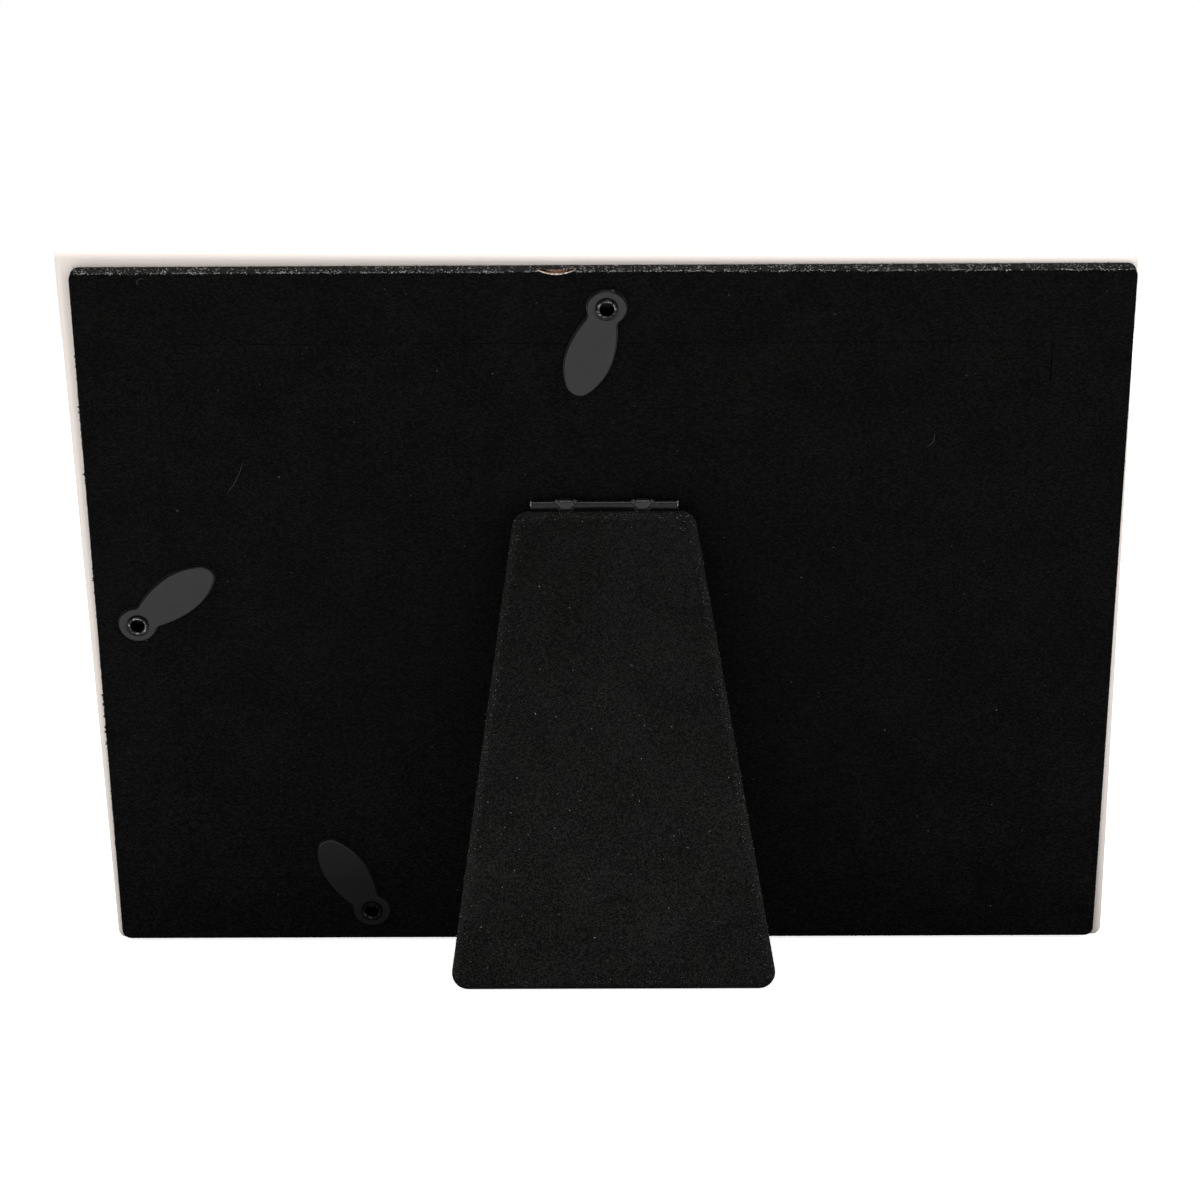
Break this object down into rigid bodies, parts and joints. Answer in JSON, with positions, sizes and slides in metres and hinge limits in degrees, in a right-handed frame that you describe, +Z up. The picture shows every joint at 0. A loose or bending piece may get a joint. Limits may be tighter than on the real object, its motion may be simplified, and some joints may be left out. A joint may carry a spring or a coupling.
{
  "type": "easel back photo frame",
  "caption": "Landscape picture frame with a velvet-covered back, a door held shut by turn buttons, and a hinged leg that props it up at a slope.",
  "frame": {"origin": "on the table, in the middle of the frame's overall box", "axes": "+X along the long side, to the right as seen from the picture's side; +Y back from the picture towards the leg; +Z up. The panel leans back by 23 degrees and the leg stands plumb."},
  "size_m": [0.2232, 0.0728, 0.1598],
  "materials": {
    "moulding": "satin off-white",
    "glass": "clear float glass",
    "print": "plain semi-matt print",
    "filler": "plain card",
    "board": "pressed fibreboard",
    "velvet": "short black pile",
    "lining": "matt black paper",
    "hinge_paint": "satin black paint on rolled sheet",
    "pin_steel": "plain",
    "rivet_steel": "plain",
    "button_plastic": "satin black moulded",
    "eyelet_steel": "worn, dark in its scratches"
  },
  "bodies": {
    "frame": {"front_frame": "moulding", "glass_pane": "glass", "photo_card": "print", "filler_card": "filler", "rim_board": "board", "door_board": "board", "back_velvet": "velvet", "hinge_door_leaf": "hinge_paint", "door_rivet_left": "rivet_steel", "door_rivet_right": "rivet_steel", "eyelet_top": "eyelet_steel", "eyelet_side": "eyelet_steel", "eyelet_bottom": "eyelet_steel"},
    "leg": {"leg_board": "board", "leg_velvet": "velvet", "leg_lining": "lining", "hinge_leg_leaf": "hinge_paint", "hinge_pin": "pin_steel", "leg_rivet_left": "rivet_steel", "leg_rivet_right": "rivet_steel"},
    "button_top": {"turn_button_top": "button_plastic"},
    "button_side": {"turn_button_side": "button_plastic"},
    "button_bottom": {"turn_button_bottom": "button_plastic"}
  },
  "joints": [
    {"name": "leg_fold", "type": "hinge", "parent": "frame", "child": "leg", "pos_m": [-0.00045, 0.01662, 0.10375], "axis": [-1, 0, 0], "range_deg": [0, 23]},
    {"name": "top_turn", "type": "hinge", "parent": "frame", "child": "button_top", "pos_m": [-0.00125, 0.0333, 0.14637], "axis": [0, 0.9205, -0.3907], "continuous": true},
    {"name": "side_turn", "type": "hinge", "parent": "frame", "child": "button_side", "pos_m": [0.09965, 0.00383, 0.07696], "axis": [0, 0.9205, -0.3907], "continuous": true},
    {"name": "bottom_turn", "type": "hinge", "parent": "frame", "child": "button_bottom", "pos_m": [0.05215, -0.02547, 0.00793], "axis": [0, 0.9205, -0.3907], "range_deg": [-130, 75]}
  ]
}
